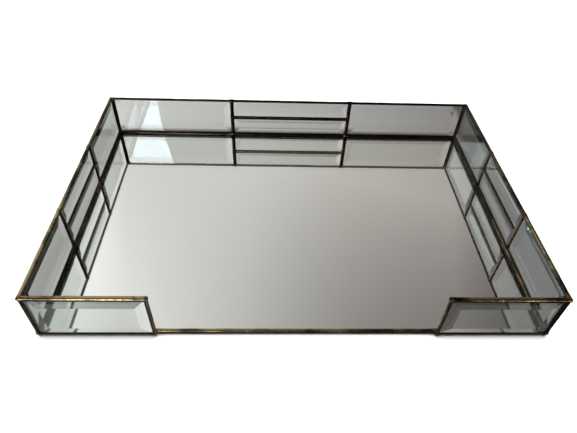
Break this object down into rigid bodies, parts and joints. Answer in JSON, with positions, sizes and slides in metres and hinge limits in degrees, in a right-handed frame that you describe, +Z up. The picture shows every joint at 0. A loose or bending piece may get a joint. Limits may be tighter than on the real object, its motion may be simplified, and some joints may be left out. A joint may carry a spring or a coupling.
{
  "type": "dresser vanity tray",
  "caption": "Low rectangular vanity tray: a mirror base with walls of bevelled clear glass in dark brass seams, and an open gap in the front wall.",
  "frame": {"origin": "centre of the underside, where the felt rests", "axes": "+X along the tray, +Y to the back wall (the open gap faces -Y), +Z up"},
  "size_m": [0.3568, 0.2426, 0.0441],
  "materials": {
    "clear_glass": "polished, bevelled, slight green tint",
    "mirror": "polished, silvered on the back",
    "aged_brass": "uneven solder bead with a dark brown patina worn to brass on the crests",
    "felt": "short-pile pressed felt"
  },
  "bodies": {
    "root": {"back_bar": "aged_brass", "back_base_rail": "aged_brass", "back_inner_fillet": "aged_brass", "back_pane_left": "clear_glass", "back_pane_right": "clear_glass", "back_rim": "aged_brass", "back_seam_left": "aged_brass", "back_seam_right": "aged_brass", "back_strip_lower": "clear_glass", "back_strip_upper": "clear_glass", "corner_post_back_left": "aged_brass", "corner_post_back_right": "aged_brass", "corner_post_front_left": "aged_brass", "corner_post_front_right": "aged_brass", "felt_backing": "felt", "front_edge_rail": "aged_brass", "front_left_base_rail": "aged_brass", "front_left_end_post": "aged_brass", "front_left_pane": "clear_glass", "front_left_rim": "aged_brass", "front_right_base_rail": "aged_brass", "front_right_end_post": "aged_brass", "front_right_pane": "clear_glass", "front_right_rim": "aged_brass", "left_bar": "aged_brass", "left_base_rail": "aged_brass", "left_inner_fillet": "aged_brass", "left_pane_front": "clear_glass", "left_pane_rear": "clear_glass", "left_rim": "aged_brass", "left_seam_front": "aged_brass", "left_seam_rear": "aged_brass", "left_strip_lower": "clear_glass", "left_strip_upper": "clear_glass", "mirror_base": "mirror", "right_bar": "aged_brass", "right_base_rail": "aged_brass", "right_inner_fillet": "aged_brass", "right_pane_front": "clear_glass", "right_pane_rear": "clear_glass", "right_rim": "aged_brass", "right_seam_front": "aged_brass", "right_seam_rear": "aged_brass", "right_strip_lower": "clear_glass", "right_strip_upper": "clear_glass"}
  },
  "joints": []
}
